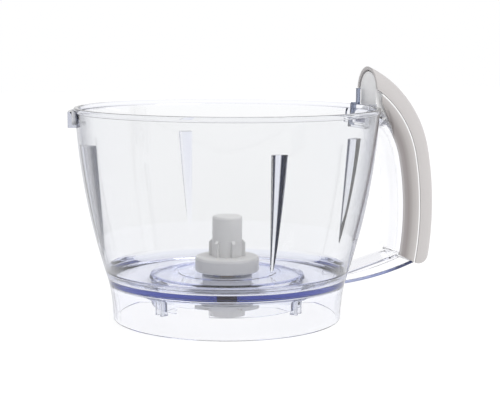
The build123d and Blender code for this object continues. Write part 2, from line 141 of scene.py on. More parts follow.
# %% Driving sizes of the bowl in mm
RIM_RADIUS, RIM_HEIGHT, WALL = 100.3, 140.0, 2.4
WAIST_RADIUS, WAIST_HEIGHT = 92.6, 76.5
SKIRT_TOP_RADIUS, SKIRT_TOP_HEIGHT = 79.4, 26.0
FLOOR_UNDER, FLOOR_TOP, DISC_TOP = 25.0, 29.0, 30.4
BOSS_RADIUS, BOSS_HOLE, BOSS_FOOT, BOSS_TOP = 9.0, 6.0, 16.0, 37.0
RING_OUTER, RING_INNER, RING_FOOT = 50.5, 48.5, 9.0
RIB_TURN, RIB_TOP, RIB_FOOT = -2.0, 117.0, 46.0
RIB_AXIS_FOOT, RIB_AXIS_RUN = 84.0, 8.6  # how far from the axis a rib's foot is, and how far it leans out
RIB_HALF_FOOT, RIB_HALF_GAIN = 1.4, 2.9  # radius of the rib at its foot, and how much it gains
WINDOW_TURNS, WINDOW_HALF, WINDOW_HEIGHT = (102.0, 222.0, 342.0), 13.8, 5.0
LATCH_HALF, LATCH_FOOT, LATCH_TOP, LATCH_OUT = 12.0, 127.0, 136.6, 2.2


def outer_wall(inset, count):
    """(radius, height) down the flared wall and the skirt: two arcs that share a tangent."""
    skirt_top = (SKIRT_TOP_RADIUS - inset, SKIRT_TOP_HEIGHT)
    side = arc((RIM_RADIUS - inset, RIM_HEIGHT), (WAIST_RADIUS - inset, WAIST_HEIGHT), skirt_top, count)
    skirt = arc(skirt_top, (77.0 - inset, 12.5), (76.2 - inset, 0.0), count // 4)
    return np.vstack([side, skirt[1:]])


def wall_radius(height, inset):
    """Radius of the wall at a height."""
    profile = outer_wall(inset, 400)[::-1]
    return np.interp(height, profile[:, 1], profile[:, 0])


# %% Profile of the bowl
def wall_stretch(heights, inset, tag):
    """Rows of the profile along the wall at given heights."""
    heights = np.asarray(heights, float)
    return np.c_[wall_radius(heights, inset), heights, np.full(len(heights), tag)]


def plain_stretch(points):
    """Rows of the profile that nothing depends on the angle for."""
    points = np.asarray(points, float)
    return np.c_[points, np.zeros(len(points))]


OUTSIDE, INSIDE, RING_EDGE = 1, 2, 3  # kinds of row that change with the angle, where 0 is a plain row
bead = plain_stretch([(98.6, RIM_HEIGHT), (100.5, RIM_HEIGHT), (100.85, 139.85), (101.0, 139.5),
                      (101.0, 137.3), (100.8, 136.9), (100.4, 136.7)])
# Rows stand close together at the bead's foot and at the band's lower edge, so those edges stay crisp.
outside_heights = np.r_[136.5, 136.3, np.linspace(135, 127.3, 6), 127.1, 126.9, np.linspace(125, 0.8, 46)]
outside = wall_stretch(outside_heights, 0, OUTSIDE)
foot = plain_stretch([(76.1, 0.25), (75.8, 0.0), (74.2, 0.0), (73.9, 0.25)])
skirt_inside = wall_stretch(np.linspace(0.8, 22.5, 10), WALL, 0)
skirt_fillet = arc((76.25, 23.4), (75.7, 24.5), (74.6, FLOOR_UNDER), 5)
ring_outer_fillet = arc((51.6, 24.95), (50.9, 24.6), (RING_OUTER, 23.8), 4)
under = plain_stretch(np.vstack([skirt_fillet, [(63.0, FLOOR_UNDER), (52.2, FLOOR_UNDER)],
                                 ring_outer_fillet]))
ring_edge = np.array([(RING_OUTER, 9.4, RING_EDGE), (50.3, RING_FOOT, RING_EDGE),
                      (48.7, RING_FOOT, RING_EDGE), (RING_INNER, 9.4, RING_EDGE)])
ring_inner_fillet = arc((RING_INNER, 23.8), (48.1, 24.6), (47.4, FLOOR_UNDER), 4)
boss_fillet = arc((10.0, FLOOR_UNDER), (9.3, 24.7), (BOSS_RADIUS, 24.0), 4)
boss = [(BOSS_RADIUS, 16.3), (8.7, BOSS_FOOT), (6.3, BOSS_FOOT), (BOSS_HOLE, 16.3), (BOSS_HOLE, 36.7),
        (6.3, BOSS_TOP), (8.7, BOSS_TOP), (BOSS_RADIUS, 36.7), (BOSS_RADIUS, 31.4), (9.3, 30.6)]
disc = [(10.2, DISC_TOP), (32.5, DISC_TOP), (33.0, 30.1), (35.2, 30.1), (35.7, DISC_TOP), (48.6, DISC_TOP)]
disc_edge = arc((49.2, 30.35), (50.3, 29.9), (51.2, 29.15), 5)
floor_fillet = arc((71.2, FLOOR_TOP), (75.2, 29.9), (77.9, 33.0), 8)
centre = plain_stretch(np.vstack([ring_inner_fillet, [(30.0, FLOOR_UNDER), (10.4, FLOOR_UNDER)],
                                  boss_fillet, boss, disc, disc_edge,
                                  [(52.2, FLOOR_TOP), (63.0, FLOOR_TOP)], floor_fillet]))
inside_heights = np.r_[np.linspace(34.5, 116.4, 50), 116.8, 117.2, 118.0, np.linspace(121, 139.2, 8)]
inside = wall_stretch(inside_heights, WALL, INSIDE)
rim = plain_stretch([(98.05, 139.8)])
profile = np.vstack([bead, outside, foot, skirt_inside, under, ring_edge, centre, inside, rim])
print("profile points", len(profile))

# %% Columns of the grid: the ones on a rib lean and taper with it
def rib_cone(height):
    """Distance from the axis and radius of a rib, both straight lines between its foot and its top."""
    along = np.clip((height - RIB_FOOT) / (RIB_TOP - RIB_FOOT), 0, 1)
    return RIB_AXIS_FOOT + RIB_AXIS_RUN * along, RIB_HALF_FOOT + RIB_HALF_GAIN * along


COLUMN_STEP, RIB_REACH, BESIDE = 1.5, 3.6, 0.15  # degrees
rib_turns = RIB_TURN + 90.0 * np.arange(4)
window_edges = (np.array(WINDOW_TURNS)[:, None] + WINDOW_HALF * np.array([-1, 1])).ravel()
edges = np.r_[window_edges, -LATCH_HALF, LATCH_HALF]
beside = (edges[:, None] + np.array([-BESIDE, BESIDE])).ravel()
plain = np.r_[np.arange(0, 360, COLUMN_STEP), beside] % 360
gaps = np.abs((plain[:, None] - rib_turns[None, :] + 180) % 360 - 180).min(1)
plain = plain[gaps > RIB_REACH]  # no straight column may cross the leaning ones, or the skin folds over
across = np.r_[-1.05, np.sin(np.radians(np.linspace(-90, 90, 15))), 1.05]
turn_of = np.r_[plain, np.repeat(rib_turns, len(across)) % 360]
share_of = np.r_[np.zeros(len(plain)), np.tile(across, 4)]
order = np.argsort((turn_of + 3.4 * share_of) % 360)  # 3.4 * 1.05 is less than the reach
turn_of, share_of = turn_of[order], share_of[order]
axis_radius, cone_radius = rib_cone(profile[:, 1:2])
turns = turn_of[None, :] + share_of[None, :] * np.degrees(np.arcsin(cone_radius / axis_radius))
theta = np.radians(turns)
steps = (np.roll(turns, -1, 1) - turns + 180) % 360 - 180
print("grid", turns.shape, "smallest step between columns in degrees", round(float(steps.min()), 4))


# %% Ribs, windows and latch band as functions of angle and height
def from_turn(centre_turn):
    """Angle in degrees from a direction, between -180 and 180."""
    return (turns - centre_turn + 180) % 360 - 180


radius = np.repeat(profile[:, :1], turns.shape[1], 1)
height = np.repeat(profile[:, 1:2], turns.shape[1], 1)
kind = profile[:, 2:3]
# A rib is a leaning cone: its skin is nearer the axis than its middle line by half a chord.
aside = axis_radius * np.sin(theta - np.radians(turn_of)[None, :])
chord = np.sqrt(np.clip(cone_radius ** 2 - aside ** 2, 0, None))
ridge = axis_radius * np.cos(theta - np.radians(turn_of)[None, :]) - chord
on_rib = (kind == INSIDE) & (height < RIB_TOP) & (height > RIB_FOOT) & (np.abs(share_of) <= 1)[None, :]
on_rib &= np.isin(turn_of, rib_turns % 360)[None, :] & (ridge < radius)
radius = np.where(on_rib, ridge, radius)
for turn in WINDOW_TURNS:
    in_window = (kind == RING_EDGE) & (np.abs(from_turn(turn)) < WINDOW_HALF)
    height = np.where(in_window, height + WINDOW_HEIGHT, height)
band = (kind == OUTSIDE) & (np.abs(from_turn(0)) < LATCH_HALF) & (height > LATCH_FOOT) & (height < LATCH_TOP)
radius = np.where(band, RIM_RADIUS + LATCH_OUT, radius)

# %% Build the bowl
points = np.stack([radius * np.cos(theta), radius * np.sin(theta), height], -1)
quads = grid_quads(*turns.shape, True, True)
bowl = outward(mesh_object("clear_bowl", points.reshape(-1, 3), quads))
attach(bowl, "bowl")
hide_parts("bowl_wall", "bowl_floor", "base_skirt", "wall_ribs", "bayonet_ring", "latch_block")

# %% [markdown]
# ## Tints of the clear skin
#
# Clear plastic shows where it is thick, bent or cut: edges are dark and flat walls almost
# vanish. Here the dark at the edges is painted shade: a tint that darkens where the skin turns
# away from the view, in place of the dark surroundings that real edges show. One closed skin can
# carry only one material, so the differences are kept as notes on its points, and the material
# reads them. Each zone has a tint for light that goes straight through, a painted dark tint for
# light that grazes it, the place between them where the painted dark begins, the index, and the
# share of light let through. The zones are one plastic with painted shade of different strength:
# strongest on spans of the front, left and right ribs and at the boss, and faint at the back rib,
# the floor, the skirt and the back of the rim. Every index is below the plastic's own, and it is
# lowest at the floor and at the back, so that little is lost between their many faces.

# %% Zones of the skin: tint face on, painted dark tint at its edges, start of the painted dark, index, share let through
# The navy below is painted shade, used for the dark lines on the ribs.
PAINTED_RIB_SHADE = (0.022, 0.030, 0.075)
ZONES = {"wall": ((0.942, 0.944, 0.930), (0.055, 0.062, 0.12), 0.50, 1.50, 1.0),
         "skirt": ((1.0, 1.0, 1.0), (0.30, 0.31, 0.36), 0.72, 1.30, 1.0),
         "boss": ((0.80, 0.81, 0.86), (0.10, 0.12, 0.20), 0.30, 1.30, 1.0),
         "ring": ((0.98, 0.985, 0.99), (0.66, 0.69, 0.84), 0.70, 1.15, 1.0),
         "floor": ((1.0, 1.0, 1.0), (0.90, 0.92, 0.97), 0.90, 1.12, 1.0),
         "step": ((0.88, 0.90, 0.97), (0.62, 0.66, 0.90), 0.70, 1.15, 1.0),
         "low_wall": ((0.985, 0.987, 0.99), (0.85, 0.87, 0.94), 0.75, 1.50, 1.0),
         "rib": ((0.93, 0.94, 0.95), (0.010, 0.016, 0.05), 0.16, 1.40, 1.0),
         "rib_painted_shade": (PAINTED_RIB_SHADE, PAINTED_RIB_SHADE, 0.16, 1.40, 0.12),
         "side_rib": ((0.95, 0.955, 0.965), (0.26, 0.28, 0.38), 0.40, 1.40, 1.0),
         "far_rib": ((0.985, 0.985, 0.985), (0.80, 0.81, 0.83), 0.70, 1.05, 1.0),
         "far_rim": ((0.97, 0.972, 0.975), (0.50, 0.51, 0.55), 0.60, 1.50, 1.0)}
zone_number = {name: number for number, name in enumerate(ZONES)}
row_height, row_radius = profile[:, 1], profile[:, 0]
at_disc_edge = (np.abs(row_radius - 50.5) < 1.4) & (row_height > 28.5)
at_floor_edge = (row_radius > 73) & (row_height < 32)
in_groove = np.abs(row_radius - 34.1) < 1.7
is_step = at_disc_edge | at_floor_edge | in_groove
row_tests = {"skirt": (row_height < 24.9) & (row_radius > 70),
             "boss": (row_radius < 9.5) & (row_height < 36.9),
             "ring": (row_radius < 54) & (row_height < 24.9),
             "step": is_step & (row_radius < 78) & (row_height > 28.5) & (row_height < 33.5),
             "floor": (row_radius < 79) & (row_height < 33.5),
             "low_wall": (row_height < 52) & (profile[:, 2] == INSIDE)}
row_zone = np.select(list(row_tests.values()), [zone_number[name] for name in row_tests], zone_number["wall"])
zone = np.repeat(row_zone[:, None], turns.shape[1], 1)
FRONT_RIB, LEFT_RIB, RIGHT_RIB, BACK_RIB = 268.0, 178.0, 358.0, 88.0
BACK_TURN, BEAD_FOOT = 69.0, 136.5
from_back = np.abs(from_turn(BACK_TURN))
is_bead = profile[:, 1:2] > BEAD_FOOT
# The back half of the bead and the ribs take zones of their own, paler or darker than the wall: painted
# shade, strongest at the front rib and faint at the back rib, though the four ribs are alike.
zone[is_bead & (from_back < 90)] = zone_number["far_rim"]
zone[on_rib] = zone_number["side_rib"]
zone[on_rib & (turn_of == FRONT_RIB)[None, :]] = zone_number["rib"]
# Where the light leaves each rib sideways its skin is seen dark; here that dark is painted shade, a navy tint
# that lets little light through, on spans across each rib from -1 to 1.
PAINTED_SHADE_SPANS = {FRONT_RIB: ((-1.0, -0.42), (0.50, 1.0)), LEFT_RIB: ((-0.50, 1.0),),
              RIGHT_RIB: ((-0.45, 0.15),)}
for turn, spans in PAINTED_SHADE_SPANS.items():
    for low_share, high_share in spans:
        dark = (turn_of == turn) & (share_of >= low_share) & (share_of <= high_share)
        zone[on_rib & dark[None, :]] = zone_number["rib_painted_shade"]
zone[on_rib & (np.abs(from_turn(BACK_RIB)) < 5)] = zone_number["far_rib"]
zone = zone.ravel()
# The rim hardly bends the light at the back: its index falls off slowly from both sides of the bowl.
behind = np.clip((90 - from_back) / 45, 0, 1)
faint_rim = np.where(is_bead, 0.40 * behind ** 2 * (3 - 2 * behind), 0).ravel().astype(np.float32)
print("points in each zone", dict(zip(ZONES, np.bincount(zone, minlength=len(ZONES)))))
NOTES = (("face_on", "FLOAT_COLOR"), ("edge_on", "FLOAT_COLOR"), ("edge_from", "FLOAT"), ("index", "FLOAT"),
         ("let_through", "FLOAT"))
for column, (name, kind_of) in enumerate(NOTES):
    of_zones = [row[column] for row in ZONES.values()]
    if kind_of == "FLOAT_COLOR":
        of_zones = [(*tint, 1) for tint in of_zones]
    per_point = np.array(of_zones, np.float32)[zone]
    if name == "index":
        per_point -= faint_rim
    note = bowl.data.attributes.new(name, kind_of, "POINT")
    note.data.foreach_set("color" if kind_of == "FLOAT_COLOR" else "value", per_point.ravel())

# %% [markdown]
# ## The handle's clear bar
#
# The bar inside the handle has a T-shaped section: a web in the channel of the liner, and a
# plate across the channel that the fingers touch. It is moulded with the bowl. The section is
# carried along the two arcs of the handle's seam. Each edge of the section is a rail of its own,
# cut where it meets the slanted heel, so the foot of the bar is flat and slanted too.

# %% The path of the handle
LONG_CENTRE, LONG_RADIUS = np.array([-61.5, 66.0]), 200.0
BEND_CENTRE, BEND_RADIUS = np.array([65.9, 91.9]), 70.0
JOIN_TURN, MOUTH = 11.5, 103.0
HEEL_POINT, HEEL_FALL = np.array([100.0, 47.5]), 19.3 / 38.5


def seam_point(turn, offset):
    """(radius, height) on the arc of each turn: centre plus (arc radius + offset) times the direction."""
    on_bend = (turn > JOIN_TURN)[..., None]
    arm = np.where(on_bend, BEND_RADIUS, LONG_RADIUS) + offset[..., None]
    direction = np.stack([np.cos(np.radians(turn)), np.sin(np.radians(turn))], -1)
    return np.where(on_bend, BEND_CENTRE, LONG_CENTRE) + arm * direction


def heel_turn(offset, lift):
    """Turn where a rail of the long arc meets the heel: sin(turn + slope angle) is a fixed ratio."""
    level = HEEL_POINT[1] + lift - LONG_CENTRE[1] - HEEL_FALL * (LONG_CENTRE[0] - HEEL_POINT[0])
    ratio = level / ((LONG_RADIUS + offset) * math.hypot(1, HEEL_FALL))
    return np.degrees(np.arcsin(ratio)) - math.degrees(math.atan(HEEL_FALL))


# %% The clear bar
def tee_section(depth, plate_thick, plate):
    """T outline as (offset, aside): the web from near the seam, the plate at the depth."""
    web, inner = 2.6, depth - plate_thick
    return rounded([(-2.4, -web), (-inner, -web), (-inner, -plate), (-depth, -plate),
                    (-depth, plate), (-inner, plate), (-inner, web), (-2.4, web)], 0.5)


def carried(sections, last, lift):
    """Stations of a section along the seam, each rail starting on the heel and ending at its last turn."""
    offset, aside = sections[..., 0], sections[..., 1]
    begin = heel_turn(offset, lift)
    share = np.linspace(0, 1, len(sections))[:, None]
    spot = seam_point(begin + (last - begin) * share, offset)
    return np.stack([spot[..., 0], aside, spot[..., 1]], -1)


bar = swept("handle_bar", carried(np.array([tee_section(16.6, 4.1, 12.6)] * 60), 37.0, 2.0))

# %% The upper arm from the bar to the rim
def bent(points, count):
    """Quadratic curve through (radius, height, half thickness, half width) rows by three weights."""
    points = np.asarray(points, float)
    t = np.linspace(0, 1, count)[:, None]
    return (1 - t) ** 2 * points[0] + 2 * t * (1 - t) * points[1] + t ** 2 * points[2]


def strap(rows):
    """Rounded bar along a (radius, height) line, as wide and as thick as each row says."""
    ahead = np.gradient(rows[:, :2], axis=0)
    up = np.c_[-ahead[:, 1], ahead[:, 0]] / np.linalg.norm(ahead, axis=1)[:, None]
    ring = rounded([(-1, -1), (1, -1), (1, 1), (-1, 1)], 0.35)
    thick, wide = ring[None, :, 0] * rows[:, 2:3], ring[None, :, 1] * rows[:, 3:4]
    spot = rows[:, None, :2] + up[:, None, :] * thick[..., None]
    return np.stack([spot[..., 0], wide, spot[..., 1]], -1)


upper_arm = swept("upper_arm", strap(bent([(100.4, 130.0, 2.4, 9.0), (111.5, 131.0, 2.0, 10.5),
                                           (115.2, 121.0, 1.6, 12.4)], 20)))

# %% The lower arm, a channel that is open below
LOWER_EDGE = arc((70.0, 17.6), (112.0, 22.6), (141.0, 31.6), 200)
ARM_STEPS = 24
low_radius = np.linspace(78.3, 138.4, ARM_STEPS)
top_radius = np.linspace(78.3, 124.3, ARM_STEPS)
low = np.c_[low_radius, np.interp(low_radius, LOWER_EDGE[:, 0], LOWER_EDGE[:, 1])]
top = np.c_[top_radius, 22.0 + (top_radius - 70.0) * 14.6 / 54.5]
inner_top = top - np.array([0.0, 2.0])
corners = np.stack([np.insert(low, 1, -11.5, 1), np.insert(top, 1, -11.5, 1), np.insert(top, 1, 11.5, 1),
                    np.insert(low, 1, 11.5, 1), np.insert(low, 1, 9.5, 1), np.insert(inner_top, 1, 9.5, 1),
                    np.insert(inner_top, 1, -9.5, 1), np.insert(low, 1, -9.5, 1)], 1)


def eased(loop, reach):
    """Cut each corner of the stations' loops back by a reach, as a small flat."""
    ways = np.roll(loop, 1, 1) - loop, np.roll(loop, -1, 1) - loop
    moved = [loop + way / np.linalg.norm(way, axis=2, keepdims=True) * reach for way in ways]
    return np.stack(moved, 2).reshape(len(loop), -1, 3)


lower_arm = swept("lower_arm", eased(corners, 0.35))

# %% Blue lower edge of the arm, where light leaves the wall edgeways: a strip inside the wall with a painted tint
edge_radius = np.linspace(80.5, 139.0, 40)
edge_line = np.c_[edge_radius, np.interp(edge_radius, LOWER_EDGE[:, 0], LOWER_EDGE[:, 1]) + 0.75]
edge_ring = rounded([(-1.0, -1.15), (1.0, -1.15), (1.0, 1.15), (-1.0, 1.15)], 0.6)
edge_stations = np.stack([np.repeat(edge_line[:, :1], len(edge_ring), 1),
                          np.repeat(edge_ring[None, :, 1] - 10.5, len(edge_line), 0),
                          edge_line[:, 1:] + edge_ring[None, :, 0]], -1)
arm_edge = swept("arm_edge", edge_stations)

# %% [markdown]
# ## The liner
#
# The grey liner is a channel: two sides and a web along the seam. Its section is carried along
# the seam like the bar's. Every point keeps how deep it lies from the seam as an attribute, so
# the material can paint light and shade by it: a painted highlight as a bright line on the lip
# at the seam, painted shade in the hollow of the side, and painted light on the inner faces of
# the channel.

# %% The liner as a channel carried along the seam
def liner_section(deep):
    """Channel outline as (offset, aside): sides tapering from 15 to 12.8, a web 2 thick at the seam."""
    return rounded([(-0.22, -15.0), (-deep / 2, -14.5), (-deep, -12.8), (-deep, -10.9), (-deep / 2, -12.6),
                    (-2.0, -13.0), (-2.0, 13.0), (-deep / 2, 12.6), (-deep, 10.9), (-deep, 12.8),
                    (-deep / 2, 14.5), (-0.22, 15.0)], 0.6)


LINER_DEPTH = 12.4
liner_depth = LINER_DEPTH - 2.8 * np.clip((np.linspace(0, 1, 90) - 0.80) / 0.12, 0, 1)
liner_sections = np.array([liner_section(d) for d in liner_depth])
stop_radius = np.where(np.abs(liner_sections[..., 1]) < 13.05, MOUTH + 10.4, MOUTH + 4.0)
last_turn = np.degrees(np.arccos((stop_radius - BEND_CENTRE[0]) / (BEND_RADIUS + liner_sections[..., 0])))
liner = swept("grey_liner", carried(liner_sections, last_turn, 0.0), sharp=50.0)
# The attribute carries painted light: the inner faces of the channel are set near the painted highlight's
# end, the rest keep their depth from the seam.
painted_light_depth = liner.data.attributes.new("painted_light_depth", "FLOAT", "POINT")
share_in = -liner_sections[..., 0] / LINER_DEPTH
painted_light_inside = np.abs(liner_sections[..., 1]) < 13.3 - 1.55 * share_in
painted_light_depth.data.foreach_set("value", np.where(painted_light_inside, 0.05, share_in).ravel().astype(np.float32))
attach(liner, "bowl")
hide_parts("handle_liner")

# %% [markdown]
# ## Small clear pieces
#
# The lid's hook, the stem at the handle's mouth and the three locking posts are plain shapes
# with a radius on each corner. Each reaches a little way into the bowl's wall, so there is no
# air gap for the light to be turned back by.

# %% Hook, stem and posts
hook_ring = rounded([(98.4, 127.0), (105.0, 127.0), (105.0, 137.5), (102.4, 137.5),
                     (102.4, 129.0), (98.4, 129.0)], 0.7)
hook_turn = np.radians(np.linspace(151.0, 169.0, 14))[:, None]
hook_radius, hook_height = hook_ring[None, :, 0], np.repeat(hook_ring[None, :, 1], len(hook_turn), 0)
hook = swept("rim_hook", np.stack([hook_radius * np.cos(hook_turn), hook_radius * np.sin(hook_turn),
                                   hook_height], -1))
stem_ring = rounded([(98.9, 6.8), (101.3, 6.8), (101.3, 9.6), (98.9, 9.6)], 0.5)


def upright(ring, heights):
    """A flat outline raised through a list of heights."""
    heights = np.asarray(heights, float)
    flat = np.repeat(ring[None], len(heights), 0)
    return np.concatenate([flat, np.broadcast_to(heights[:, None, None], flat.shape[:2] + (1,))], 2)


stem = swept("mouth_stem", upright(stem_ring, np.linspace(139.4, 151.0, 6)))
post_ring = rounded([(48.0, -4.0), (53.0, -4.0), (53.0, -2.0), (50.0, -2.0), (50.0, 2.0), (53.0, 2.0),
                     (53.0, 4.0), (48.0, 4.0)], 0.4)
posts = []
for number, turn in enumerate((72.0, 192.0, 312.0)):
    cosine, sine = math.cos(math.radians(turn)), math.sin(math.radians(turn))
    ring = np.c_[post_ring[:, 0] * cosine - post_ring[:, 1] * sine,
                 post_ring[:, 0] * sine + post_ring[:, 1] * cosine]
    posts.append(swept(f"locking_post_{number + 1}", upright(ring, np.linspace(6.0, 25.4, 6))))

# %% Cheeks and sill of the lid's slot, then what the clear pieces ride on and stand for
cheek_ring = rounded([(98.2, 12.8), (102.9, 12.8), (102.9, 14.8), (97.6, 14.8)], 0.5)
cheeks = [swept(f"lid_cheek_{name}", upright(cheek_ring * np.array([1, side]), np.linspace(124.0, 141.0, 6)))
          for name, side in (("far", 1), ("near", -1))]
sill_ring = rounded([(97.6, -14.6), (102.9, -14.6), (102.9, 14.6), (97.6, 14.6)], 0.5)
sill = swept("lid_sill", upright(sill_ring, np.linspace(124.0, 125.6, 3)))
clear_pieces = [bar, upper_arm, lower_arm, arm_edge, hook, stem, *posts, *cheeks, sill]
for piece in clear_pieces:
    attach(piece, "bowl")
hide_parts("handle_core")
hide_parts("handle_lower_arm")
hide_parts("lid_hook")
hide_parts("handle_stem")
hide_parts("bayonet_posts")

# %% [markdown]
# ## Clear plastic
#
# Clear moulding plastic is glass-like with an index near 1.57 and a faint blue body colour.
# The colour hardly shows through a thin wall, but a look along the floor is a look through
# 150 mm of it, and that makes the blue line round the floor. So the colour is in the volume.
# The small pieces use that index. The bowl reads a lower one from its points and the arms
# have 1.2, so that these large pieces stay as clean as real ones look.

# %% Material helpers
PLASTIC_INDEX, BODY_BLUE = 1.57, (0.0, 0.09, 0.62, 1)


def new_material(name):
    """Material with an empty Principled shader, its tree and its shader node."""
    material = bpy.data.materials.new(name)
    material.use_nodes = True
    tree = material.node_tree
    shader = tree.nodes["Principled BSDF"]
    return material, tree, shader


def dress(piece, material):
    """Give a piece one material on every face."""
    piece.data.materials.clear()
    piece.data.materials.append(material)


def edge_dark(tree, shader, face_on, edge_on, start, end):
    """Tint of light going through the skin: a pale one face on, and painted shade, a dark one, at grazing
    angles.
    """
    facing = tree.nodes.new("ShaderNodeLayerWeight")
    facing.inputs["Blend"].default_value = 0.5
    ramp = tree.nodes.new("ShaderNodeValToRGB")
    ramp.color_ramp.interpolation = "EASE"
    ramp.color_ramp.elements[0].position = start
    ramp.color_ramp.elements[0].color = (*face_on, 1)
    ramp.color_ramp.elements[1].position = end
    ramp.color_ramp.elements[1].color = (*edge_on, 1)
    tree.links.new(facing.outputs["Facing"], ramp.inputs["Fac"])
    tree.links.new(ramp.outputs["Color"], shader.inputs["Base Color"])
    return ramp


def clear_plastic(name, face_on, edge_on, start, end, density, index=PLASTIC_INDEX):
    """Clear plastic: pale at the skin, painted shade at grazing angles, blue in its depth."""
    material, tree, shader = new_material(name)
    shader.inputs["Transmission Weight"].default_value = 1.0
    shader.inputs["IOR"].default_value = index
    shader.inputs["Roughness"].default_value = 0.0
    edge_dark(tree, shader, face_on, edge_on, start, end)
    body = tree.nodes.new("ShaderNodeVolumeAbsorption")
    body.inputs["Color"].default_value = BODY_BLUE
    body.inputs["Density"].default_value = density
    tree.links.new(body.outputs["Volume"], tree.nodes["Material Output"].inputs["Volume"])
    return material


# %% The bowl's clear plastic reads the zones from its points
DARK_FULL = 0.97  # how far the skin is turned away where the dark tint is complete


def read_note(tree, name, output):
    """Socket with the value that each point of the piece keeps under a name."""
    note = tree.nodes.new("ShaderNodeAttribute")
    note.attribute_name = name
    return note.outputs[output]


def clear_by_zone(name, density):
    """Clear plastic whose pale tint, painted dark tint and start of the painted dark come from the points."""
    material = clear_plastic(name, (1, 1, 1), (0, 0, 0), 0.5, DARK_FULL, density)
    tree, shader = material.node_tree, material.node_tree.nodes["Principled BSDF"]
    facing = next(node for node in tree.nodes if node.type == "LAYER_WEIGHT")
    share = tree.nodes.new("ShaderNodeMapRange")
    share.interpolation_type = "SMOOTHSTEP"
    share.inputs["From Max"].default_value = DARK_FULL
    tint = tree.nodes.new("ShaderNodeMix")
    tint.data_type = "RGBA"
    tree.links.new(facing.outputs["Facing"], share.inputs["Value"])
    tree.links.new(read_note(tree, "edge_from", "Fac"), share.inputs["From Min"])
    tree.links.new(share.outputs["Result"], tint.inputs["Factor"])
    tree.links.new(read_note(tree, "face_on", "Color"), tint.inputs["A"])
    tree.links.new(read_note(tree, "edge_on", "Color"), tint.inputs["B"])
    tree.links.new(tint.outputs["Result"], shader.inputs["Base Color"])
    tree.links.new(read_note(tree, "index", "Fac"), shader.inputs["IOR"])
    tree.links.new(read_note(tree, "let_through", "Fac"), shader.inputs["Transmission Weight"])
    return material


dress(bowl, clear_by_zone("clear_bowl", 17.0))
# The clear pieces are all one plastic; their tints differ as painted shade: the hook darker, the stem and the
# far cheek navy, the arms paler than the rest.
clear_thin = clear_plastic("clear_handle", (0.985, 0.985, 0.99), (0.30, 0.32, 0.42), 0.70, 0.98, 8.0, 1.2)
clear_small = clear_plastic("clear_small", (0.90, 0.91, 0.93), (0.05, 0.06, 0.12), 0.35, 0.92, 11.0)
clear_painted_dark = clear_plastic("clear_painted_dark", (0.26, 0.29, 0.38), (0.03, 0.04, 0.09), 0.20, 0.85, 4.0)
for piece in (upper_arm, lower_arm):
    dress(piece, clear_thin)
for piece in (*posts, cheeks[1], sill):
    dress(piece, clear_small)
dress(hook, clear_plastic("clear_hook", (0.72, 0.73, 0.76), (0.02, 0.025, 0.05), 0.10, 0.80, 5.0))
for piece in (stem, cheeks[0]):
    dress(piece, clear_painted_dark)


# %% Hazed clear plastic of the bar the fingers touch, with a painted glow
CLOUD_SCALE, PAINTED_GLOW = 90, 0.40


def hazed_with_painted_glow(name, colour, share_clear):
    """Clear plastic behind a matt skin, with a painted glow on its faces that do not face sideways, in place
    of the light that the plate guides along itself.
    """
    material, tree, shader = new_material(name)
    shader.inputs["Transmission Weight"].default_value = share_clear
    shader.inputs["IOR"].default_value = PLASTIC_INDEX
    shader.inputs["Roughness"].default_value = 0.22
    place = tree.nodes.new("ShaderNodeTexCoord")
    cloud = tree.nodes.new("ShaderNodeTexNoise")
    cloud.inputs["Scale"].default_value = CLOUD_SCALE
    tree.links.new(place.outputs["Object"], cloud.inputs["Vector"])
    ramp = tree.nodes.new("ShaderNodeValToRGB")
    ramp.color_ramp.elements[0].color = (*[c * 0.95 for c in colour], 1)
    ramp.color_ramp.elements[1].color = (*colour, 1)
    tree.links.new(cloud.outputs["Fac"], ramp.inputs["Fac"])
    tree.links.new(ramp.outputs["Color"], shader.inputs["Base Color"])
    # Painted glow: emission strongest on the faces that do not face sideways.
    split = tree.nodes.new("ShaderNodeSeparateXYZ")
    sideways = tree.nodes.new("ShaderNodeMath")
    sideways.operation = "ABSOLUTE"
    painted_glow = tree.nodes.new("ShaderNodeMapRange")
    painted_glow.inputs["To Min"].default_value, painted_glow.inputs["To Max"].default_value = PAINTED_GLOW, 0.0
    tree.links.new(place.outputs["Normal"], split.inputs["Vector"])
    tree.links.new(split.outputs["Y"], sideways.inputs[0])
    tree.links.new(sideways.outputs["Value"], painted_glow.inputs["Value"])
    tree.links.new(painted_glow.outputs["Result"], shader.inputs["Emission Strength"])
    shader.inputs["Emission Color"].default_value = (1, 1, 1, 1)
    return material


bar_haze_painted_glow = hazed_with_painted_glow("bar_haze_painted_glow", (0.98, 0.98, 1.0), 0.06)
dress(bar, bar_haze_painted_glow)


